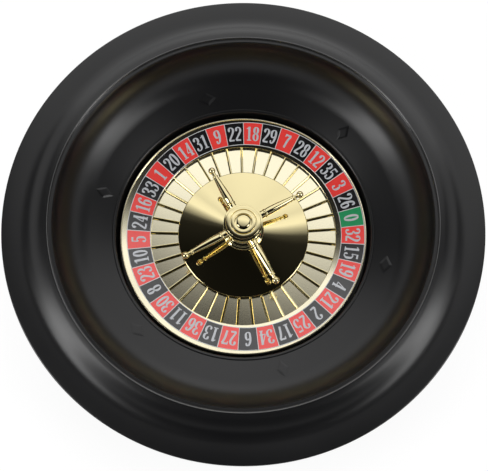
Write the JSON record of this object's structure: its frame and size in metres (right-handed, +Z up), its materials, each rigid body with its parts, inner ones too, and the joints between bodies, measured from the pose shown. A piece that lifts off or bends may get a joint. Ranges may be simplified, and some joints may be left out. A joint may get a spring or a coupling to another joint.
{
  "type": "roulette wheel",
  "caption": "Table-top roulette wheel: a black bowl with a sloping ball track, and a gilt rotor with numbered pockets, polished cone and armed turret that spins on ball bearings.",
  "frame": {"origin": "on the spin axis, at table level under the feet", "axes": "+Z up along the spin axis; +X to the right of a player who stands on the -Y side; the green zero rests a little counter-clockwise of +X"},
  "size_m": [0.4089, 0.409, 0.085],
  "materials": {
    "black_plastic": "satin gloss moulded plastic",
    "base_plastic": "matte moulded plastic",
    "rubber": "matte",
    "gold": "polished gold plating",
    "print": "printed film, satin",
    "steel": "bright",
    "bearing_steel": "ground",
    "hub_metal": "turned"
  },
  "bodies": {
    "bowl": {"rim_ring": "black_plastic", "track_dish": "black_plastic", "outer_casing": "black_plastic", "bottom_plate": "base_plastic", "dish_screws": "steel", "casing_screws": "steel", "foot_1": "rubber", "foot_2": "rubber", "foot_3": "rubber", "foot_4": "rubber", "spindle": "steel", "spindle_screw": "steel", "lower_bearing_inner_ring": "bearing_steel", "upper_bearing_inner_ring": "bearing_steel", "bearing_spacer": "steel", "lock_washer": "steel", "lock_nut": "steel"},
    "rotor": {"bearing_hub": "hub_metal", "lower_bearing_outer_ring": "bearing_steel", "upper_bearing_outer_ring": "bearing_steel", "lower_bearing_shields": "bearing_steel", "upper_bearing_shields": "bearing_steel", "pocket_plate": "gold", "number_land": "gold", "pocket_frets": "gold", "number_print": "print", "cone": "gold", "hub_screws": "steel", "turret_base": "gold", "turret_stem": "gold", "turret_cap": "gold", "cap_button": "gold", "tie_bolt": "steel", "turret_arm_1": "gold", "turret_arm_2": "gold", "turret_arm_3": "gold", "turret_arm_4": "gold"},
    "lower_cage": {"lower_bearing_balls": "bearing_steel", "lower_bearing_cage": "bearing_steel"},
    "upper_cage": {"upper_bearing_balls": "bearing_steel", "upper_bearing_cage": "bearing_steel"}
  },
  "joints": [
    {"name": "rotor_spin", "type": "hinge", "parent": "bowl", "child": "rotor", "pos_m": [0, 0, 0.0256], "axis": [0, 0, 1], "continuous": true},
    {"name": "lower_cage_orbit", "type": "hinge", "parent": "bowl", "child": "lower_cage", "pos_m": [0, 0, 0.0205], "axis": [0, 0, 1], "continuous": true},
    {"name": "upper_cage_orbit", "type": "hinge", "parent": "bowl", "child": "upper_cage", "pos_m": [0, 0, 0.0295], "axis": [0, 0, 1], "continuous": true}
  ],
  "couplings": [
    {"joint": "lower_cage_orbit", "follows": "rotor_spin", "ratio": 0.6283},
    {"joint": "upper_cage_orbit", "follows": "rotor_spin", "ratio": 0.6283}
  ]
}
